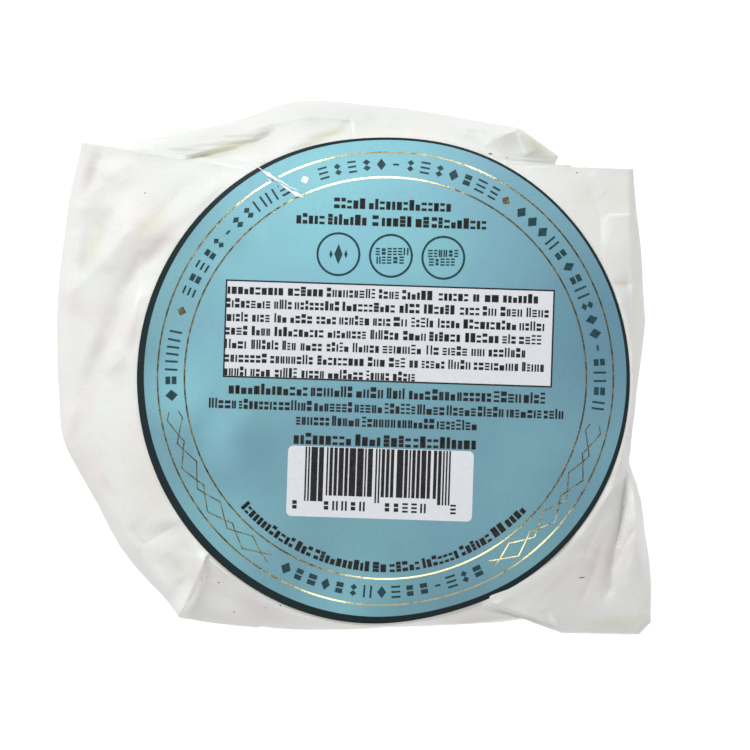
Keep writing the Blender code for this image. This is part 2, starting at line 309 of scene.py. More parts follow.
def makePaperMaterial():
    material, tree, shader = newMaterial("waxedPaper", 0.5, 0.4)
    patches = noiseNode(tree, paperLook["patchScale"], 2.0, 0.45, 0.4)
    plain = rampNode(tree, patches, (
        (0.30, paperLook["rose"]), (0.46, paperLook["clean"]), (0.58, paperLook["clean"]),
        (0.74, paperLook["cream"])))
    # painted shade and painted highlights are laid over the paper's tone, on its upper side
    marked = plain
    for colour, marks in paperLightAndShadeMarks:
        marked = paintMarks(tree, marked, marks, colour)
    split = tree.nodes.new("ShaderNodeSeparateXYZ")
    tree.links.new(objectPlace(tree), split.inputs[0])
    height = split.outputs["Z"]
    tone = mixNode(tree, rangeNode(tree, height, *paperLook["marksFrom"], 0.0, 1.0), plain, marked)
    # painted shade: the paper grows darker and warmer towards the floor
    low = rangeNode(tree, height, *paperLook["floorShadeZone"], paperLook["floorShadeShare"], 0.0)
    tone = mixNode(tree, low, tone, paperLook["low"])
    fibres = noiseNode(tree, paperLook["fibreScale"], 4.0, 0.6)
    grain = rampNode(tree, fibres, paperLook["grain"])
    tree.links.new(mixNode(tree, 1.0, tone, grain, "MULTIPLY"), shader.inputs["Base Color"])
    wrinkles = noiseNode(tree, paperLook["wrinkleScale"], 5.0, 0.55, 0.6)
    finishSurface(tree, shader, wrinkles, paperLook["roughness"],
                  ((wrinkles, 0.25, 0.0003), (fibres, 0.1, 0.00005)))
    return material


labelLook = {
    "ground": ((0.160, 0.325, 0.400), (0.170, 0.362, 0.415)),  # from blue to green
    # light: the teal as the painted sheen makes it
    "light": ((0.250, 0.530, 0.650), (0.252, 0.570, 0.640)),
    "sheenFields": (  # painted sheen, brighter towards the upper left, at the lower bend and in streaks on the left: as paintFields takes them
        ((-4.0, 31.0, 23.0), 2.0, 50.0, 1.0),
        ((-25.5, 1.0, 23.8), 2.0, 14.0, 0.42),
        ((-22.4, -8.8, 23.8), 0.5, 5.5, 0.42),
        ((-24.4, -14.6, 23.8), 0.5, 6.5, 0.4),
        ((-23.0, 22.0, 23.8), 2.0, 17.0, 0.3),
        ((0.0, -45.0, 20.0), 2.0, 15.0, 0.5),
        ((-22.0, -28.0, 23.0), 2.0, 13.0, 0.26),
        ((-32.0, -5.0, 23.0), 1.0, 9.0, 0.6),
        ((-24.6, -11.4, 23.8), 0.5, 4.5, 0.3),
    ),
    "shadeFields": (
        ((-33.5, 27.0, 23.0), 2.0, 13.0, 0.7),
        ((-30.0, 13.0, 23.0), 1.0, 8.0, 0.35),
        ((-21.5, 22.5, 23.8), 0.5, 5.5, 0.35),
    ),
    # painted shade, darker and bluer towards the right and at the lower bend
    "deep": (0.105, 0.225, 0.310),
    "deepShadeFields": (((46.0, 6.0, 23.0), 3.0, 22.0, 0.66), ((38.0, -25.0, 23.0), 2.0, 14.0, 0.3),
                   ((6.0, -45.0, 22.0), 1.0, 8.0, 0.3), ((-18.0, -14.0, 23.8), 1.0, 6.0, 0.12)),
    "rim": (0.006, 0.017, 0.020),
    "cloudScale": 55.0,
    "grainScale": 3200.0,
    "grain": ((0.3, (0.93, 0.94, 0.95)), (0.65, (1.04, 1.03, 1.02))),
    "rippleScale": 160.0,
    "roughness": (0.42, 0.55),
    "rimBlur": 0.0004,  # half the soft edge of the print, as a share of the plan
}


def makeLabelMaterial():
    material, tree, shader = newMaterial("tealSticker", 0.48, 0.2)
    clouds = noiseNode(tree, labelLook["cloudScale"], 3.0, 0.5)
    dark = rampNode(tree, clouds, ((0.42, labelLook["ground"][0]), (0.62, labelLook["ground"][1])))
    light = rampNode(tree, clouds, ((0.38, labelLook["light"][0]), (0.6, labelLook["light"][1])))
    # painted sheen lightens the teal towards the upper left, at the lower bend and in streaks; painted
    # shade then darkens it on the left and towards the right
    ground = paintFields(tree, dark, labelLook["sheenFields"], light)
    ground = paintFields(tree, ground, labelLook["shadeFields"], dark)
    ground = paintFields(tree, ground, labelLook["deepShadeFields"], labelLook["deep"])
    grain = noiseNode(tree, labelLook["grainScale"], 2.0, 0.6)
    ground = mixNode(tree, 1.0, ground, rampNode(tree, grain, labelLook["grain"]), "MULTIPLY")
    # the printed ground ends in a dark rim, read from the label's flat plan
    plan = tree.nodes.new("ShaderNodeUVMap")
    plan.uv_map = "plan"
    away = distanceNode(tree, plan.outputs["UV"], (*planUv(*printFrame["groundCentre"]), 0.0))
    edge = printFrame["groundRadius"] / planSpan
    atRim = rangeNode(tree, away, edge - labelLook["rimBlur"], edge + labelLook["rimBlur"], 0.0, 1.0)
    tree.links.new(mixNode(tree, atRim, ground, labelLook["rim"]), shader.inputs["Base Color"])
    ripples = noiseNode(tree, labelLook["rippleScale"], 3.0)
    finishSurface(tree, shader, ripples, labelLook["roughness"],
                  ((ripples, 0.25, 0.0005), (grain, 0.08, 0.00004)))
    return material


inkLooks = {  # lighter and darker tone, roughness
    "blackInk": ((0.022, 0.020, 0.021), (0.010, 0.009, 0.010), 0.4),
    "darkTealInk": ((0.018, 0.070, 0.080), (0.008, 0.038, 0.046), 0.4),
    "whiteBoard": ((0.70, 0.73, 0.77), (0.66, 0.69, 0.73), 0.45),
    "bareStock": ((0.92, 0.93, 0.93), (0.84, 0.86, 0.87), 0.5),
    "strayFibre": ((0.16, 0.125, 0.10), (0.09, 0.07, 0.055), 0.7),
}


def makeInkMaterial(name):
    light, dark, roughness = inkLooks[name]
    material, tree, shader = newMaterial(name, roughness, 0.25)
    mottle = noiseNode(tree, 1500.0, 3.0, 0.6)
    tree.links.new(rampNode(tree, mottle, ((0.35, dark), (0.7, light))), shader.inputs["Base Color"])
    finishSurface(tree, shader, mottle, (roughness - 0.05, roughness + 0.06), ((mottle, 0.1, 0.00003),))
    return material


goldLook = {
    "wearScale": 900.0,
    "tones": ((0.3, (0.38, 0.33, 0.17)), (0.48, (0.72, 0.65, 0.38)), (0.75, (0.82, 0.77, 0.53))),
    "roughness": (0.15, 0.27),
}


def makeGoldMaterial():
    material, tree, shader = newMaterial("goldFoil", 0.3)
    shader.inputs["Metallic"].default_value = 1.0
    wear = noiseNode(tree, goldLook["wearScale"], 4.0, 0.6)
    tree.links.new(rampNode(tree, wear, goldLook["tones"]), shader.inputs["Base Color"])
    finishSurface(tree, shader, wear, goldLook["roughness"], ((wear, 0.3, 0.00005),))
    return material


# label pieces

planSpan = 100.0  # millimetres of the flat label across its whole UV map


def planUv(u, v):
    return (u / planSpan + 0.5, v / planSpan + 0.5)


def finishPiece(bm, name, material, smooth=True):
    mesh = bpy.data.meshes.new(name)
    bm.to_mesh(mesh)
    bm.free()
    mesh.materials.append(material)
    if smooth:
        mesh.shade_smooth()
        mesh.set_sharp_from_angle(angle=math.radians(35))
    piece = bpy.data.objects.new(name, mesh)
    bpy.context.scene.collection.objects.link(piece)
    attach(piece, "root")
    return piece


def layOnLabel(bm, above):
    # every vertex is a place on the flat label and a height over what it is printed on
    plan = bm.loops.layers.uv.new("plan")
    for face in bm.faces:
        for loop in face.loops:
            loop[plan].uv = planUv(loop.vert.co.x, loop.vert.co.y)
    top = labelShape["thickness"] + above
    for vert in bm.verts:
        vert.co = labelPoint(vert.co.x, vert.co.y, top + vert.co.z) * mm


def cutEvery(bm, step, reach):
    # cross cuts, so that a flat shape can follow the bent label. They miss the shapes' own corners.
    aside = 0.013
    count = int(reach / step)
    for axis in (Vector((1, 0, 0)), Vector((0, 1, 0))):
        for index in range(-count, count + 1):
            everything = bm.verts[:] + bm.edges[:] + bm.faces[:]
            bmesh.ops.bisect_plane(bm, geom=everything, plane_co=axis * (index * step + aside),
                                   plane_no=axis)


def printPiece(bm, name, material, above=0.0, cuts=None):
    # bends flat printing onto the label, after cross cuts where it is wide
    if cuts:
        cutEvery(bm, *cuts)
    layOnLabel(bm, above)
    finishPiece(bm, name, material, smooth=False)


def turned(degrees, u, v, above=0.0):
    return Matrix.Translation((u, v, above)) @ Matrix.Rotation(math.radians(degrees), 4, "Z")


def inPrintFrame(s, t):
    spot = Matrix.Rotation(math.radians(printFrame["tilt"]), 2) @ Vector((s, t))
    return spot.x, spot.y


def addBar(bm, u, v, width, height, degrees=0.0):
    depth = printFrame["ink"]
    place = turned(degrees, u, v, depth / 2) @ Matrix.Diagonal((width, height, depth, 1))
    bmesh.ops.create_cube(bm, size=1.0, matrix=place)


def addLozenge(bm, u, v, width, height, degrees=0.0, depth=printFrame["ink"]):
    place = turned(degrees, u, v, depth / 2) @ Matrix.Diagonal((width / 2, height / 2, depth, 1))
    bmesh.ops.create_cone(bm, cap_ends=True, cap_tris=False, segments=4, radius1=1.0, radius2=1.0,
                          depth=1.0, matrix=place)


def addRing(bm, u, v, radius, line, segments):
    # a flat ring: the rectangle of its section, spun once round
    depth = printFrame["ink"]
    section = bmesh.ops.create_grid(bm, x_segments=1, y_segments=1, size=0.5)["verts"]
    stand = Matrix.Translation((u + radius, v, depth / 2)) @ Matrix.Rotation(math.pi / 2, 4, "X")
    bmesh.ops.transform(bm, matrix=stand @ Matrix.Diagonal((line, depth, 1, 1)), verts=section)
    faces = list({face for vert in section for face in vert.link_faces})
    edges = list({edge for face in faces for edge in face.edges})
    bmesh.ops.spin(bm, geom=edges, cent=(u, v, 0), axis=(0, 0, 1), angle=math.tau, steps=segments,
                   use_merge=True)
    bmesh.ops.delete(bm, geom=faces, context="FACES_ONLY")


def addPlate(bm, s, t, width, height, corner, thickness):
    # a thin board with rounded corners
    corners = bmesh.ops.create_grid(bm, x_segments=1, y_segments=1, size=0.5)["verts"]
    u, v = inPrintFrame(s, t)
    place = turned(printFrame["tilt"], u, v) @ Matrix.Diagonal((width, height, 1, 1))
    bmesh.ops.transform(bm, matrix=place, verts=corners)
    if corner:
        bmesh.ops.bevel(bm, geom=corners, offset=corner, segments=6, profile=0.5, affect="VERTICES",
                        material=-1)
    grown = bmesh.ops.extrude_face_region(bm, geom=bm.faces[:])["geom"]
    risen = [part for part in grown if isinstance(part, bmesh.types.BMVert)]
    bmesh.ops.translate(bm, vec=(0, 0, thickness), verts=risen)
    bmesh.ops.recalc_face_normals(bm, faces=bm.faces[:])


# circles of the label's disc: wide apart inside, close where it bends down, closest at its edge
labelRings = {"inner": 7, "apart": 0.1, "bentFrom": 0.72, "bent": 26, "edge": 0.03, "segments": 288}


def makeLabel(material):
    bm = bmesh.new()
    radius = labelShape["radius"]
    start, count = labelRings["bentFrom"], labelRings["bent"]
    rings = [radius * labelRings["apart"] * (index + 1) for index in range(labelRings["inner"])]
    rings += [radius * (start + (1 - start) * index / count) for index in range(count)]
    rings += [radius - labelRings["edge"], radius]
    bmesh.ops.create_circle(bm, cap_ends=True, cap_tris=True, segments=labelRings["segments"],
                            radius=rings[0])
    rim = [edge for edge in bm.edges if edge.is_boundary]
    for inner, outer in zip(rings, rings[1:]):
        grown = bmesh.ops.extrude_edge_only(bm, edges=rim)["geom"]
        verts = [part for part in grown if isinstance(part, bmesh.types.BMVert)]
        bmesh.ops.scale(bm, vec=(outer / inner, outer / inner, 1), verts=verts)
        rim = [part for part in grown if isinstance(part, bmesh.types.BMEdge) and part.is_boundary]
    bmesh.ops.recalc_face_normals(bm, faces=bm.faces[:])
    if bm.faces[0].normal.z < 0:
        bmesh.ops.reverse_faces(bm, faces=bm.faces[:])
    kept = bm.faces[:]
    top = bmesh.ops.extrude_face_region(bm, geom=kept, use_keep_orig=True)["geom"]
    upper = {part for part in top if isinstance(part, bmesh.types.BMVert)}
    bmesh.ops.reverse_faces(bm, faces=kept)
    for vert in bm.verts:
        vert.co.z = 0.0 if vert in upper else -labelShape["thickness"]
    layOnLabel(bm, 0.0)
    piece = finishPiece(bm, "roundLabel", material)
    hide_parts("round_label")


# rings and chains of gold foil

goldRings = {"radii": (41.1, 36.24), "line": 0.3, "segments": 360, "cuts": (2.0, 44.0)}
latticeLook = {
    "radius": 38.67,
    "spans": ((189.1, 237.2), (347.3, 299.6)),  # each chain's angles, from its upper end
    "line": 0.2,
    "lap": 0.12,  # how far the strokes run on at a knot, both ends together
    # where the two strands stand along the chain, and how far apart: 0 where they cross
    "opening": ((0.0, 0.85), (1.3, 1.4), (4.3, 0.0)),
    "diamonds": ((1.35, 0.66), (2.7, 0.0), (5.7, 1.45), (8.8, 0.0)),
    "ending": (1.8, 0.72),
    "repeats": 3,
}
ringMarks = ((161.8, 1.15), (112.1, 0.9), (55.8, 1.15))  # separators between the words: angle, size


def ringPlace(degrees, radius):
    spot = direction(degrees) * radius
    return spot.x + printFrame["ringCentre"][0], spot.y + printFrame["ringCentre"][1]


def strokePlace(start, end):
    # middle, length and turn of a straight stroke
    start, end = Vector(start), Vector(end)
    run = end - start
    middle = (start + end) / 2
    return middle.x, middle.y, run.length, math.degrees(math.atan2(run.y, run.x))


def makeLattice(bm, first, last):
    # two strands that cross between small and large diamonds
    radius = latticeLook["radius"]
    knots = list(latticeLook["opening"])
    for _ in range(latticeLook["repeats"]):
        start = knots[-1][0]
        knots += [(start + along, reach) for along, reach in latticeLook["diamonds"]]
    along, reach = latticeLook["ending"]
    knots.append((knots[-1][0] + along, reach))
    perMillimetre = (last - first) / knots[-1][0]
    for side in (1, -1):
        sign = side
        points = []
        for along, reach in knots:
            if reach == 0.0:
                sign = -sign
            points.append(ringPlace(first + along * perMillimetre, radius + sign * reach))
        for start, end in zip(points, points[1:]):
            u, v, length, turn = strokePlace(start, end)
            addBar(bm, u, v, length + latticeLook["lap"], latticeLook["line"], turn)


def makeGold(material):
    bm = bmesh.new()
    for radius in goldRings["radii"]:
        addRing(bm, *printFrame["ringCentre"], radius, goldRings["line"], goldRings["segments"])
    for first, last in latticeLook["spans"]:
        makeLattice(bm, first, last)
    for degrees, size in ringMarks:
        addLozenge(bm, *ringPlace(degrees, latticeLook["radius"]), size * 1.5, size * 1.5, degrees)
    printPiece(bm, "goldFoilPrint", material, cuts=goldRings["cuts"])


# words are printed as rows of plain blocks, bars and lozenges, which spell nothing

ringWords = {
    "radius": 38.67,
    "height": 2.25,
    "stroke": 0.36,
    "runs": (  # first and last angle, number of marks, and which of them are short dashes
        (184.6, 168.7, 5, ()),
        (156.2, 118.2, 11, (5,)),
        (106.8, 59.6, 13, (5,)),
        (50.6, -7.4, 16, (11,)),
        (242.4, 295.6, 15, (11,)),
    ),
}


def addMark(bm, u, v, width, height, stroke, degrees, kind):
    # one of a few generic figures, as wide and as dark as a letter
    across = Matrix.Rotation(math.radians(degrees), 2)

    def at(x, y):
        spot = across @ Vector((x, y))
        return u + spot.x, v + spot.y

    if kind == "pair":
        for side in (-0.5, 0.5):
            addBar(bm, *at(side * (width - stroke), 0), stroke, height, degrees)
    elif kind == "stack":
        for level in (-0.5, 0.0, 0.5):
            addBar(bm, *at(0, level * (height - stroke)), width, stroke, degrees)
    elif kind == "lozenge":
        addLozenge(bm, u, v, width * 1.1, height, degrees)
    elif kind == "twins":
        for side in (-0.25, 0.25):
            addLozenge(bm, *at(0, side * height), width * 0.8, height / 2, degrees)
    elif kind == "step":
        addBar(bm, *at(0, height / 4), width * 0.8, height / 2.6, degrees)
        addBar(bm, *at(0, -height / 4), width * 0.8, height / 2.6, degrees)
    else:
        addBar(bm, u, v, width * 0.6, stroke, degrees)


def makeRingWords(material):
    bm = bmesh.new()
    draw = random.Random(7)
    for first, last, count, dashes in ringWords["runs"]:
        outward = last < first
        for index in range(count):
            degrees = first + (last - first) * index / (count - 1)
            kind = "dash" if index in dashes else draw.choice(("pair", "stack", "lozenge", "step", "twins"))
            width = draw.uniform(1.45, 1.9)
            turn = degrees - 90 if outward else degrees + 90
            addMark(bm, *ringPlace(degrees, ringWords["radius"]), width, ringWords["height"],
                    ringWords["stroke"], turn, kind)
    printPiece(bm, "ringWordMarks", material)


badges = {
    "centres": ((-8.11, 22.5), (1.35, 22.2), (10.8, 21.85)),
    "radius": 3.77,
    "line": 0.38,
    "lozenges": ((0.0, 2.4), (-1.35, 1.0), (1.35, 1.0)),  # place across and size
    "rows": ((0.78, 2.75), (-0.78, 2.6)),  # place up and half length
    "figure": (1.3, 0.27, 0.24),  # height, stroke and gap
}


def makeBadges(material):
    # the left badge holds three lozenges, the others two short rows of blocks
    bm = bmesh.new()
    draw = random.Random(11)
    tilt = printFrame["tilt"]
    for index, (u, v) in enumerate(badges["centres"]):
        addRing(bm, u, v, badges["radius"], badges["line"], 72)
        if index == 0:
            for offset, size in badges["lozenges"]:
                addLozenge(bm, u + offset, v, size * 0.62, size * 1.5, tilt)
            continue
        height, stroke, gap = badges["figure"]
        for row, reach in badges["rows"]:
            place = -reach
            while place < reach - 0.4:
                width = draw.uniform(0.6, 0.95)
                addMark(bm, u + place + width / 2, v + row, width, height, stroke, tilt,
                        draw.choice(("pair", "step", "stack")))
                place += width + gap
    printPiece(bm, "badgeRings", material)


# cuts are the step and the reach of the cross cuts
panel = {"centre": (0.72, 8.24), "size": (59.35, 17.6), "border": 0.27, "thickness": 0.02,
         "cuts": (2.5, 35.0)}
barcodePlate = {"centre": (0.0, -18.86), "size": (33.5, 12.7), "corner": 0.95, "thickness": 0.02,
                "cuts": (2.5, 30.0)}

# rows of small print: left end and height over the label's centre, mark height, and the words as
# (from, to), with a third value where they are bold
smallPrint = (
    ((-9.9, 31.47), 1.9, ((0.0, 5.6, True), (6.3, 21.1, True))),
    ((-16.6, 28.49), 1.9, ((0.0, 5.1, True), (5.7, 13.0, True), (13.7, 14.8, True), (15.4, 20.8, True),
        (21.5, 23.9, True), (24.4, 34.3, True))),
    ((-28.6, 15.31), 1.68, ((0.0, 10.2, True), (10.9, 17.2, True), (17.9, 26.6), (27.3, 30.9),
        (31.5, 37.1, True), (38.1, 43.4, True), (44.3, 45.4, True), (46.4, 48.9, True),
        (49.7, 56.0, True))),
    ((-28.7, 12.86), 1.68, ((0.0, 7.9), (8.6, 11.7), (12.3, 20.3), (20.9, 30.4, True), (31.2, 34.9, True),
        (35.6, 41.2, True), (42.1, 45.6, True), (46.2, 48.8), (49.4, 53.3), (54.1, 58.1))),
    ((-28.6, 10.40), 1.68, ((0.0, 3.9), (4.6, 7.7), (8.6, 10.7), (11.5, 15.4), (16.2, 19.7), (20.3, 25.7),
        (26.4, 29.5), (30.1, 32.5), (33.3, 37.2), (38.1, 42.0), (42.7, 52.2, True), (52.8, 57.3))),
    ((-28.7, 7.95), 1.68, ((0.0, 3.9), (4.7, 8.0), (8.8, 17.6, True), (18.4, 25.3), (26.1, 31.1),
        (32.0, 36.1), (36.7, 42.3, True), (43.2, 49.2, True), (49.9, 52.3), (52.9, 56.9))),
    ((-28.7, 5.50), 1.68, ((0.0, 3.9), (4.7, 9.6), (10.3, 12.7), (13.6, 17.4), (18.3, 22.2), (23.0, 27.7),
        (28.4, 35.3), (36.3, 38.5), (39.2, 43.7), (44.4, 46.8), (47.5, 54.1))),
    ((-28.7, 3.04), 1.68, ((0.0, 7.6), (8.2, 15.9), (16.7, 25.1, True), (25.8, 28.9), (29.6, 32.5),
        (33.3, 34.8), (35.5, 39.6), (40.3, 44.3), (44.9, 53.0), (53.6, 57.5))),
    ((-28.8, 0.59), 1.68, ((0.0, 4.1), (4.8, 8.3), (9.2, 13.1), (14.0, 18.0), (18.8, 25.1), (25.7, 29.8),
        (30.5, 34.5))),
    ((-27.8, -2.52), 1.95, ((0.0, 14.3, True), (14.8, 22.5), (23.0, 28.0), (28.5, 31.9), (32.5, 36.3),
        (36.7, 40.8), (41.2, 47.3), (47.8, 52.7), (53.2, 57.0))),
    ((-31.3, -5.27), 1.8, ((0.0, 5.0), (5.4, 12.2), (12.6, 18.6), (19.0, 25.8), (26.3, 31.2),
        (31.7, 37.2), (37.6, 42.5), (42.9, 48.1), (48.5, 53.2), (53.7, 60.0), (60.4, 63.9))),
    ((-15.5, -7.81), 1.8, ((0.0, 6.0), (6.5, 11.4), (11.9, 17.9), (18.3, 24.9), (25.4, 32.5))),
    ((-15.8, -11.15), 2.05, ((0.0, 10.4, True), (11.1, 15.7, True), (16.2, 21.1, True),
        (21.6, 32.9, True))),
)
curvedPrint = {"radius": 34.1, "height": 1.8, "from": 221.8, "to": 316.6,
               "words": (19, 5, 17, 4, 9, 11, 10, 4, 7),  # how long each is, in parts of the line
               "space": 0.6}


def figureBars(kind, width, height, stem):
    # the bars of one abstract figure, as (across, up, width, height) from its left end and middle
    half = (height - stem) / 2
    return {
        "post": ((stem / 2, 0.0, stem, height),),
        "pair": ((stem / 2, 0.0, stem, height), (width - stem / 2, 0.0, stem, height)),
        "stack": tuple((width / 2, level * half, width, stem) for level in (-1, 0, 1)),
        "split": tuple((width / 2, side * (height + stem) / 4, width, half) for side in (-1, 1)),
        "block": ((width / 2, -height * 0.13, width, height * 0.74),),
    }[kind]


def addWord(draw, length, height, bold, put):
    # one word of figures, fitted to its length. put(along, up, width, height) sets one bar on the line
    stem = height * (0.3 if bold else 0.18)
    gap = height * 0.15
    kinds = []
    widths = []
    while sum(widths) + gap * len(widths) < length - 1.2 * stem:
        kinds.append(draw.choice(("post", "pair", "pair", "stack", "split", "block", "split")))
        widths.append(stem if kinds[-1] == "post" else height * draw.uniform(0.34, 0.5))
    if not kinds:
        kinds, widths = ["post"], [stem]
    spare = length - sum(widths) - gap * (len(widths) - 1)
    along = 0.0
    for index, (kind, width) in enumerate(zip(kinds, widths)):
        width = max(stem, width + spare / len(widths)) if kind != "post" else stem
        tall = index == 0 and draw.random() < 0.5 or draw.random() < 0.25
        rise = height * (1.0 if tall else 0.78)
        for across, up, barWidth, barHeight in figureBars(kind, width, rise, stem):
            put(along + across, up + (rise - height) / 2, barWidth, barHeight)
        along += width + gap


def makeSmallPrint(material):
    bm = bmesh.new()
    draw = random.Random(23)
    tilt = printFrame["tilt"]
    for (left, level), height, runs in smallPrint:
        for start, end, *bold in runs:

            def put(along, up, width, rise, left=left, level=level, start=start):
                addBar(bm, *inPrintFrame(left + start + along, level + up), width, rise, tilt)

            addWord(draw, end - start, height, bool(bold), put)

    radius = curvedPrint["radius"]
    space = curvedPrint["space"]
    parts = curvedPrint["words"]
    line = radius * math.radians(curvedPrint["to"] - curvedPrint["from"]) - space * (len(parts) - 1)
    start = 0.0
    for part in parts:
        length = line * part / sum(parts)

        def putCurved(along, up, width, rise, start=start):
            degrees = curvedPrint["from"] + math.degrees((start + along) / radius)
            addBar(bm, *ringPlace(degrees, radius - up), width, rise, degrees + 90)

        addWord(draw, length, curvedPrint["height"], True, putCurved)
        start += length + space
    printPiece(bm, "smallPrintMarks", material, panel["thickness"])


def makePanel(boardMaterial, lineMaterial):
    bm = bmesh.new()
    addPlate(bm, *panel["centre"], *panel["size"], 0.0, panel["thickness"])
    printPiece(bm, "printPanel", boardMaterial, cuts=panel["cuts"])
    bm = bmesh.new()
    s, t = panel["centre"]
    width, height = panel["size"]
    line = panel["border"]
    for side in (-0.5, 0.5):
        u, v = inPrintFrame(s, t + side * (height - line))
        addBar(bm, u, v, width, line, printFrame["tilt"])
        u, v = inPrintFrame(s + side * (width - line), t)
        addBar(bm, u, v, line, height - 2 * line, printFrame["tilt"])
    printPiece(bm, "panelBorder", lineMaterial, panel["thickness"], panel["cuts"])


barcode = {
    "left": -13.6, "right": 12.6, "top": -12.62, "foot": -21.3, "guardFoot": -22.4,
    "modules": 95, "guards": (0, 2, 46, 48, 92, 94), "halves": ((4, 45), (50, 91)), "outer": 10,
    "barWidths": (1, 2, 3, 3, 4), "gaps": (1, 1, 1, 1, 2), "spread": 1.06,
    "digitSize": (1.0, 1.7, 0.34),  # width, height, stroke
    "digitLevel": -23.1, "digitPitch": 1.62,
    "digits": ((-15.3, 1), (-9.6, 5), (1.4, 5), (13.3, 1)),  # first place and number of them
}


def makeBarcode(plateMaterial, lineMaterial):
    bm = bmesh.new()
    addPlate(bm, *barcodePlate["centre"], *barcodePlate["size"], barcodePlate["corner"],
             barcodePlate["thickness"])
    printPiece(bm, "barcodePlate", plateMaterial, cuts=barcodePlate["cuts"])
    bm = bmesh.new()
    draw = random.Random(5)
    module = (barcode["right"] - barcode["left"]) / barcode["modules"]
    bars = [(place, 1, True) for place in barcode["guards"]]
    for first, last in barcode["halves"]:
        place = first
        while place < last:
            width = min(draw.choice(barcode["barWidths"]), last - place)
            outer = min(place, barcode["modules"] - 1 - place) < barcode["outer"]
            bars.append((place, width, outer))
            place += width + draw.choice(barcode["gaps"])
    for place, width, long in bars:
        foot = barcode["guardFoot"] if long else barcode["foot"]
        height = barcode["top"] - foot
        s = barcode["left"] + (place + width / 2) * module
        addBar(bm, *inPrintFrame(s, foot + height / 2), width * module * barcode["spread"], height,
               printFrame["tilt"])
    for start, count in barcode["digits"]:
        for index in range(count):
            # a plain figure in each digit's place
            s = start + index * barcode["digitPitch"]
            addMark(bm, *inPrintFrame(s, barcode["digitLevel"]), *barcode["digitSize"], printFrame["tilt"],
                    draw.choice(("pair", "step", "stack")))
    printPiece(bm, "barcodeBars", lineMaterial, barcodePlate["thickness"], barcodePlate["cuts"])


# the ink is broken along the crease, and the sticker's white stock shows

crackLook = {
    "depth": 0.05,
    "cuts": (1.0, 42.0),
    "taper": 1.15,  # a stroke's lozenge is this much longer than the stroke
    "strokes": (  # from, to, width
        ((-24.1, 39.5), (-21.4, 37.3), 0.22),
        ((-21.9, 37.7), (-19.6, 36.2), 0.75),
        ((-20.6, 36.9), (-18.6, 35.5), 0.5),
        ((-19.3, 36.3), (-16.4, 34.3), 0.3),
        ((-18.7, 35.3), (-16.2, 33.6), 0.5),
        ((-17.0, 34.0), (-14.4, 32.8), 0.8),
        ((-16.9, 34.7), (-15.2, 34.0), 0.22),
        ((-20.9, 36.2), (-20.0, 35.4), 0.2),
    ),
}


def makeCrack(material):
    bm = bmesh.new()
    for start, end, line in crackLook["strokes"]:
        u, v, length, turn = strokePlace(start, end)
        addLozenge(bm, u, v, length * crackLook["taper"], line, turn, crackLook["depth"])
    printPiece(bm, "brokenInk", material, cuts=crackLook["cuts"])


# paper

paperShape = {
    "sharpFold": 42.0,  # degrees past which a fold of the CAD paper stays crisp
    "levels": 2,
    "footZone": 7.0,  # the cage keeps its place towards the foot, below this height
    "underLabel": 0.28,  # the paper comes up to the label by this much
    "liftFade": 3.0,
    "calm": 0.2,  # it lies smooth this far from the label's rim
    "calmFade": 1.0,
    "dents": ((9.0, 0.22), (3.4, 0.09), (1.4, 0.04)),  # size and depth
    "smoothBelow": 26.0,  # degrees between faces, under which the upper side's lumps are evened
    "smoothAreas": (  # plan, reach and rounds
        ((0.0, 0.0), 75.0, 2), ((-52.0, 4.0), 32.0, 22), ((40.0, -32.0), 15.0, 14),
        ((41.0, 24.0), 16.0, 8)),
    "smoothFrom": 43.5,  # distance from the label's centre past which lumps are evened
    "upperFrom": 10.0,  # height past which the paper is its upper side
    "upperFade": 4.0,
    "floorFree": 0.3,  # dents start this far off the floor
    "floorFade": 1.5,
    "tuck": 0.2,  # this far inside the label's rim, the paper keeps under the label
    "tuckFrom": 12.0,
    "tuckGap": 0.02,
    "outside": 43.0,  # distance from the label's centre past which the folds show
    "round": 0.1,  # radius of a crease
    "finePath": 0.95,  # the surface is divided once more this near to a crease
}

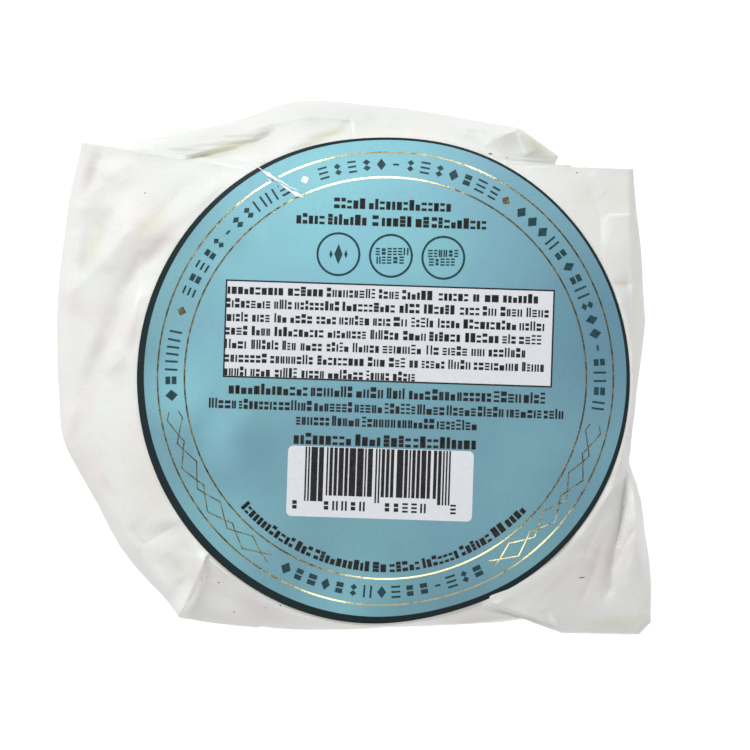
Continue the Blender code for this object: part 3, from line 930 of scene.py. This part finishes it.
# crisp folds in the upper side: path, rise (less than 0 sinks), reach to the left and to the right
creases = (
    # left flap
    (((-55.5, 32.0), (-50.9, 35.0), (-45.1, 39.7)), 0.3, 1.6, 2.2),
    (((-50.8, 41.4), (-53.1, 35.7), (-55.2, 31.0)), -0.5, 0.8, 2.4),
    (((-51.4, 41.4), (-52.3, 37.6)), 0.22, 0.4, 0.5),
    (((-55.8, 18.0), (-49.0, 30.6)), -0.35, 2.2, 1.2),
    (((-57.8, 14.3), (-50.5, 21.2), (-45.1, 27.9)), 0.25, 2.2, 1.4),
    (((-44.7, 25.2), (-39.1, 31.2), (-33.9, 36.6)), -0.25, 2.0, 1.4),
    (((-45.7, 5.2), (-44.9, 11.0), (-43.9, 16.2), (-40.8, 21.2)), 0.3, 1.2, 0.6),
    (((-49.9, 0.6), (-48.2, 3.0), (-46.6, 4.6)), 0.14, 0.4, 0.5),
    (((-51.6, 1.4), (-49.4, -1.2)), -0.12, 0.5, 0.4),
    (((-50.6, 35.0), (-46.6, 38.4)), -0.1, 0.5, 0.5),
    (((-49.6, 33.4), (-46.0, 36.6)), 0.1, 0.4, 0.5),
    (((-52.6, 28.8), (-48.8, 32.6)), 0.08, 0.4, 0.5),
    (((-46.2, -26.4), (-43.5, -30.0), (-35.9, -25.5)), -0.4, 2.0, 0.8),
    (((-39.5, -31.5), (-36.4, -35.5)), -0.18, 1.4, 1.2),
    (((-51.6, -20.6), (-46.4, -28.2), (-44.2, -32.0)), 0.35, 0.9, 0.7),
    (((-55.8, -12.0), (-53.0, -18.0)), -0.2, 0.8, 0.9),
    # the fold from the label's rim to the lower left corner, with the wall hanging from it
    (((-31.8, -31.6), (-32.3, -34.0), (-32.9, -37.6), (-34.4, -40.3), (-37.2, -43.1)), 0.2, 0.4, 0.4),
    (((-37.2, -36.2), (-35.4, -39.6), (-36.9, -42.0)), -0.3, 0.9, 0.6),
    (((-42.6, -35.2), (-38.0, -38.4), (-34.4, -38.2)), 0.15, 0.7, 0.9),
    # top sheet
    (((-34.1, 40.1), (-27.8, 41.4), (-23.8, 42.4), (-20.2, 44.4)), -0.3, 0.4, 0.8),
    (((-5.2, 47.8), (-6.2, 44.4)), 0.3, 1.6, 0.6),
    (((13.0, 45.6), (17.5, 45.1), (18.8, 43.8), (22.0, 40.5)), 0.4, 1.0, 0.7),
    (((15.0, 44.4), (18.4, 42.6)), -0.2, 0.7, 0.7),
    (((18.8, 43.8), (24.6, 45.3)), 0.2, 0.6, 0.8),
    (((24.8, 45.3), (26.6, 40.5)), 0.55, 2.8, 0.8),
    # right flap
    (((37.9, 37.6), (39.4, 35.0), (40.2, 33.4)), 0.2, 0.8, 1.0),
    (((36.9, 35.0), (39.3, 29.7), (39.4, 24.0)), -0.25, 1.0, 1.2),
    (((39.9, 29.0), (42.4, 29.3), (45.2, 29.8)), 0.22, 0.4, 1.8),
    (((39.6, 31.0), (40.4, 25.0), (39.4, 18.6)), 0.12, 0.6, 1.4),
    (((40.8, 17.5), (43.4, 17.0), (45.6, 17.5)), -0.4, 0.6, 0.6),
    # lower right flap
    (((44.0, -15.6), (43.8, -22.3), (43.2, -25.9), (42.1, -31.0), (41.7, -33.7), (41.4, -38.2),
      (39.8, -40.8)), -0.7, 0.5, 1.6),
    (((43.9, -16.8), (43.8, -22.3), (43.2, -25.9), (42.1, -31.0)), -0.4, 0.18, 0.3),
    (((44.6, -15.6), (45.9, -24.0), (45.6, -31.0), (44.0, -37.5)), 0.3, 1.6, 1.2),
    (((43.2, -17.6), (39.3, -22.6), (33.4, -30.6)), 0.4, 1.3, 0.9),
    (((42.0, -21.0), (38.4, -27.0), (36.4, -32.6)), -0.32, 1.0, 0.8),
    (((45.9, -26.7), (43.4, -31.0), (41.6, -35.1)), -0.4, 0.5, 0.9),
    (((27.0, -35.6), (34.2, -33.2)), 0.12, 0.8, 0.8),
    (((34.6, -31.4), (36.8, -35.6), (36.0, -39.4)), 0.18, 0.8, 0.9),
    (((40.0, -28.6), (38.4, -34.6), (35.4, -41.4)), -0.36, 0.8, 0.9),
    (((44.2, -36.2), (47.4, -44.0)), 0.35, 0.9, 1.2),
    (((29.2, -41.8), (31.2, -45.6)), -0.3, 0.8, 0.9),
)

# edges of upper sheets and broad steps: path, height, width, and reach of the raised strip on its left
steps = (
    (((-37.4, -43.4), (-34.4, -40.3), (-32.9, -37.6), (-32.3, -34.0), (-31.8, -31.2)), 1.35, 0.6, 2.0),
    (((-24.1, 37.8), (-31.9, 39.3), (-36.8, 40.0), (-54.6, 43.0)), 0.35, 0.3, 1.0),
    (((45.6, 38.2), (33.4, 38.6), (25.2, 38.3)), 0.3, 0.3, 1.2),
    (((33.6, 40.0), (31.5, 40.2), (20.2, 40.3)), 0.2, 0.3, 0.9),
    (((17.4, -39.6), (23.3, -42.0), (27.4, -43.4), (32.6, -46.2)), 0.7, 0.3, 1.6),
    (((-37.4, 39.6), (-32.3, 41.1), (-27.8, 42.2), (-23.8, 43.3), (-19.6, 45.4)), 1.0, 1.3, 3.4),
    (((-20.8, 41.0), (-13.3, 43.3), (-8.8, 44.9), (-5.0, 48.2)), 0.6, 1.8, 3.0),
    (((-56.4, -5.4), (-50.5, 8.0), (-48.0, 14.3), (-45.6, 19.3), (-42.2, 23.0), (-35.0, 29.8),
      (-26.4, 37.0)), 0.8, 3.4, 8.0),
)


def copyOfCad(nodeName):
    # the CAD paper as one closed surface, with crisp folds marked
    bm = bmesh.new()
    bm.from_mesh(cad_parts[nodeName].data)
    bmesh.ops.remove_doubles(bm, verts=bm.verts[:], dist=2e-6)
    bmesh.ops.join_triangles(bm, faces=bm.faces[:], angle_face_threshold=math.radians(30),
                             angle_shape_threshold=math.radians(50))
    crease = bm.edges.layers.float.new("crease_edge")
    for edge in bm.edges:
        if len(edge.link_faces) == 2 and edge.calc_face_angle() > math.radians(paperShape["sharpFold"]):
            edge[crease] = 0.85
    evenLumps(bm)
    return bm


def smoothedCopy(carrier):
    carrier.data.update()
    bpy.context.view_layer.update()
    return bpy.data.meshes.new_from_object(carrier.evaluated_get(bpy.context.evaluated_depsgraph_get()))


def smoothedPaper():
    # subdivision draws a surface in, so the cage is first moved out by as much
    cage = copyOfCad("paper_wrap")
    mesh = bpy.data.meshes.new("paperCage")
    cage.to_mesh(mesh)
    cage.free()
    carrier = bpy.data.objects.new("paperCage", mesh)
    bpy.context.scene.collection.objects.link(carrier)
    smoother = carrier.modifiers.new("smooth", "SUBSURF")
    smoother.levels = paperShape["levels"]
    smoother.render_levels = paperShape["levels"]
    drawnIn = smoothedCopy(carrier)
    for vert, moved in zip(mesh.vertices, drawnIn.vertices):
        vert.co += (vert.co - moved.co) * smoothStep(vert.co.z / mm / paperShape["footZone"])
    dense = smoothedCopy(carrier)
    bpy.data.objects.remove(carrier)
    return dense


def dents(point, size):
    # hollows with a sharp crease where two meet, about zero on average
    return 0.2 - abs(noise.noise(point / size))


def pathBox(path, margin):
    xs = [point[0] for point in path]
    ys = [point[1] for point in path]
    return min(xs) - margin, min(ys) - margin, max(xs) + margin, max(ys) + margin


def inBox(point, box):
    return box[0] < point.x < box[2] and box[1] < point.y < box[3]


creaseBoxes = [pathBox(path, 4 * max(left, right)) for path, rise, left, right in creases]
stepBoxes = [pathBox(path, 4 * reach) for path, step, width, reach in steps]


def foldRelief(point):
    # height that the folds and the steps add at a place of the plan
    height = 0.0
    for (path, rise, left, right), box in zip(creases, creaseBoxes):
        if not inBox(point, box):
            continue
        away, share = nearPath(point, path)
        reach = left if away > 0 else right
        fade = smoothStep(share * 5 + 0.15) * smoothStep((1 - share) * 5 + 0.15)
        blunt = math.sqrt(away * away + paperShape["round"] ** 2) - paperShape["round"]
        height += rise * fade * math.exp(-blunt / reach)
    for (path, step, width, reach), box in zip(steps, stepBoxes):
        if not inBox(point, box):
            continue
        away, share = nearPath(point, path)
        fade = smoothStep(share * 7) * smoothStep((1 - share) * 7)
        height += step * fade * smoothStep(away / width + 0.5) * math.exp(-max(0.0, away) / reach)
    return height


def nearCrease(point):
    reach = paperShape["finePath"]
    paths = [crease[0] for crease in creases] + [step[0] for step in steps]
    for path in paths:
        if inBox(point, pathBox(path, reach)) and abs(nearPath(point, path)[0]) < reach:
            return True
    return False


def evenLumps(bm):
    # smooths the heights of the upper side outside the label, but leaves its crisp folds
    centre = labelShape["centre"]
    limit = math.radians(paperShape["smoothBelow"])
    bm.normal_update()
    soft = [vert for vert in bm.verts if vert.co.z > paperShape["upperFrom"] * mm and vert.normal.z > 0.75
            and max(edge.calc_face_angle(0.0) for edge in vert.link_edges) < limit
            and (vert.co.xy / mm - centre).length > paperShape["smoothFrom"]]
    for plan, reach, rounds in paperShape["smoothAreas"]:
        place = centre + Vector(plan)
        verts = [vert for vert in soft if (vert.co.xy / mm - place).length < reach]
        for _ in range(rounds):
            bmesh.ops.smooth_vert(bm, verts=verts, factor=0.5, use_axis_z=True)


def makePaper(material):
    bm = bmesh.new()
    bm.from_mesh(smoothedPaper())
    centre = labelShape["centre"]
    upperFrom = paperShape["upperFrom"]
    facing = [vert for vert in bm.verts if vert.co.z > upperFrom * mm and vert.normal.z > 0.2]
    close = {vert for vert in facing if (vert.co.xy / mm - centre).length > paperShape["outside"]
             and nearCrease(vert.co.xy / mm - centre)}
    fine = [edge for edge in bm.edges if edge.verts[0] in close and edge.verts[1] in close]
    bmesh.ops.subdivide_edges(bm, edges=fine, cuts=1, use_grid_fill=True)
    bm.normal_update()
    print("paper has", sum(len(face.verts) - 2 for face in bm.faces), "triangles")
    moves = {}
    for vert in bm.verts:
        place = vert.co / mm
        flat = place.xy - centre
        onTop = smoothStep((place.z - upperFrom) / paperShape["upperFade"]) * smoothStep(vert.normal.z * 3)
        outward = flat.length - labelShape["radius"]
        clear = smoothStep((outward - paperShape["calm"]) / paperShape["calmFade"])
        offFloor = smoothStep((place.z - paperShape["floorFree"]) / paperShape["floorFade"])
        loose = clear * onTop + (1 - onTop) * offFloor
        relief = sum(depth * dents(place + Vector((11.0, 5.0, size)), size)
                     for size, depth in paperShape["dents"])
        move = vert.normal * relief * loose
        if onTop and flat.length > paperShape["outside"]:
            move.z += foldRelief(flat) * clear * onTop
        if onTop:
            move.z += paperShape["underLabel"] * (1 - smoothStep(outward / paperShape["liftFade"]))
        moves[vert] = move
    for vert, move in moves.items():
        vert.co += move * mm
    underRadius = labelShape["radius"] - paperShape["tuck"]
    for vert in bm.verts:
        flat = vert.co.xy / mm - centre
        if flat.length < underRadius and vert.co.z > paperShape["tuckFrom"] * mm:
            vert.co.z = min(vert.co.z, (labelPoint(flat.x, flat.y).z - paperShape["tuckGap"]) * mm)
        vert.co.z = max(vert.co.z, 0.0)
    piece = finishPiece(bm, "paperWrap", material)
    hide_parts("paper_wrap")
    return piece


# stray fibres and specks that lie on the paper

specks = {"places": (  # plan, length, width, turn
    ((19.4, 40.75), 0.85, 0.34, 25.0),
    ((36.0, -36.0), 1.2, 0.2, -52.0),
    ((-29.9, -36.9), 0.75, 0.16, 35.0),
    ((-27.3, -42.6), 0.5, 0.16, -8.0),
    ((-18.6, -40.9), 0.34, 0.28, 0.0),
    ((-21.4, -41.6), 0.4, 0.2, 60.0),
    ((35.0, 37.3), 0.3, 0.22, 80.0),
    ((40.6, 38.3), 0.4, 0.26, 10.0),
    ((22.4, 40.2), 0.4, 0.16, 15.0),
    ((-43.1, 33.6), 0.3, 0.22, 0.0),
    ((-46.4, -37.6), 0.3, 0.16, 40.0),
)}


def makeSpecks(paper, material):
    bm = bmesh.new()
    bpy.context.view_layer.update()
    for (u, v), length, width, turn in specks["places"]:
        spot = Vector((u, v)) + labelShape["centre"]
        hit, point, normal, _ = paper.ray_cast(Vector((spot.x, spot.y, 60)) * mm, Vector((0, 0, -1)))
        if not hit:
            continue
        lie = normal.to_track_quat("Z", "Y").to_matrix().to_4x4()
        place = Matrix.Translation(point + normal * 0.01 * mm) @ lie
        place = place @ Matrix.Rotation(math.radians(turn), 4, "Z")
        place = place @ Matrix.Diagonal((length / 2 * mm, width / 2 * mm, 0.05 * mm, 1))
        bmesh.ops.create_icosphere(bm, subdivisions=2, radius=1.0, matrix=place)
    finishPiece(bm, "paperSpecks", material)


# stage

cameraLook = {"centre": (3.886, -1.629), "overLabel": 650.0, "across": 135.2}


def makeCamera():
    data = bpy.data.cameras.new("overhead")
    data.lens_unit = "FOV"
    data.angle = 2 * math.atan(cameraLook["across"] / 2 / cameraLook["overLabel"])
    data.clip_start = 0.01
    camera = bpy.data.objects.new("overhead", data)
    height = labelShape["underside"] + cameraLook["overLabel"]
    camera.location = Vector((*cameraLook["centre"], height)) * mm
    bpy.context.scene.collection.objects.link(camera)
    bpy.context.scene.camera = camera


lights = (  # name, place and size in metres, power in watts, colour
    ("keyLight", (-0.18, 0.30, 0.52), (0.38, 0.34), 2.45, (0.98, 1.0, 0.995)),
    ("nearLight", (0.03, -0.21, 0.62), (0.26, 0.12), 0.3, (1.0, 0.97, 0.88)),
)


def makeLights():
    for name, place, size, power, colour in lights:
        data = bpy.data.lights.new(name, "AREA")
        data.shape = "RECTANGLE"
        data.size, data.size_y = size
        data.energy = power
        data.color = colour
        lamp = bpy.data.objects.new(name, data)
        lamp.location = place
        lamp.rotation_euler = (-Vector(place)).to_track_quat("-Z", "Y").to_euler()
        bpy.context.scene.collection.objects.link(lamp)


skyLook = {"stops": (  # height and colour, from the floor's edge to overhead
    (0.12, (1.0, 1.0, 1.0)), (0.22, (0.62, 0.595, 0.59)), (0.86, (0.565, 0.555, 0.57)),
    (0.97, (0.05, 0.055, 0.06)))}


def makeSky():
    # a pale studio that is dark overhead, so that flat foil stays dark and bent foil shines
    world = bpy.data.worlds.new("studio")
    world.use_nodes = True
    tree = world.node_tree
    background = tree.nodes["Background"]
    place = tree.nodes.new("ShaderNodeTexCoord")
    split = tree.nodes.new("ShaderNodeSeparateXYZ")
    tree.links.new(place.outputs["Generated"], split.inputs[0])
    tree.links.new(rampNode(tree, split.outputs["Z"], skyLook["stops"]), background.inputs["Color"])
    bpy.context.scene.world = world


floorLook = {"half": 1.2, "paint": (0.08, 0.08, 0.08), "glow": 1.02, "drop": 0.00005}


def makeFloor():
    bm = bmesh.new()
    bmesh.ops.create_grid(bm, x_segments=1, y_segments=1, size=floorLook["half"])
    bmesh.ops.translate(bm, vec=(0, 0, -floorLook["drop"]), verts=bm.verts[:])
    mesh = bpy.data.meshes.new("floor")
    bm.to_mesh(mesh)
    bm.free()
    material, tree, shader = newMaterial("paleFloor", 0.8, 0.1)
    shader.inputs["Base Color"].default_value = (*floorLook["paint"], 1.0)
    shader.inputs["Emission Color"].default_value = (1.0, 1.0, 1.0, 1.0)
    shader.inputs["Emission Strength"].default_value = floorLook["glow"]
    mesh.materials.append(material)
    floor = bpy.data.objects.new("floor", mesh)
    bpy.context.scene.collection.objects.link(floor)


def build():
    makeCamera()
    makeLights()
    makeSky()
    makeFloor()
    bpy.context.scene.view_settings.view_transform = "Standard"
    print("stage set")
    paper = makePaperMaterial()
    teal = makeLabelMaterial()
    inks = {name: makeInkMaterial(name) for name in inkLooks}
    black = inks["blackInk"]
    darkTeal = inks["darkTealInk"]
    white = inks["whiteBoard"]
    gold = makeGoldMaterial()
    print("materials mixed")
    wrap = makePaper(paper)
    makeSpecks(wrap, inks["strayFibre"])
    print("paper folded")
    makeLabel(teal)
    makeGold(gold)
    makeRingWords(darkTeal)
    makeBadges(darkTeal)
    makePanel(white, black)
    makeSmallPrint(black)
    makeBarcode(white, black)
    makeCrack(inks["bareStock"])
    print("label printed")


build()
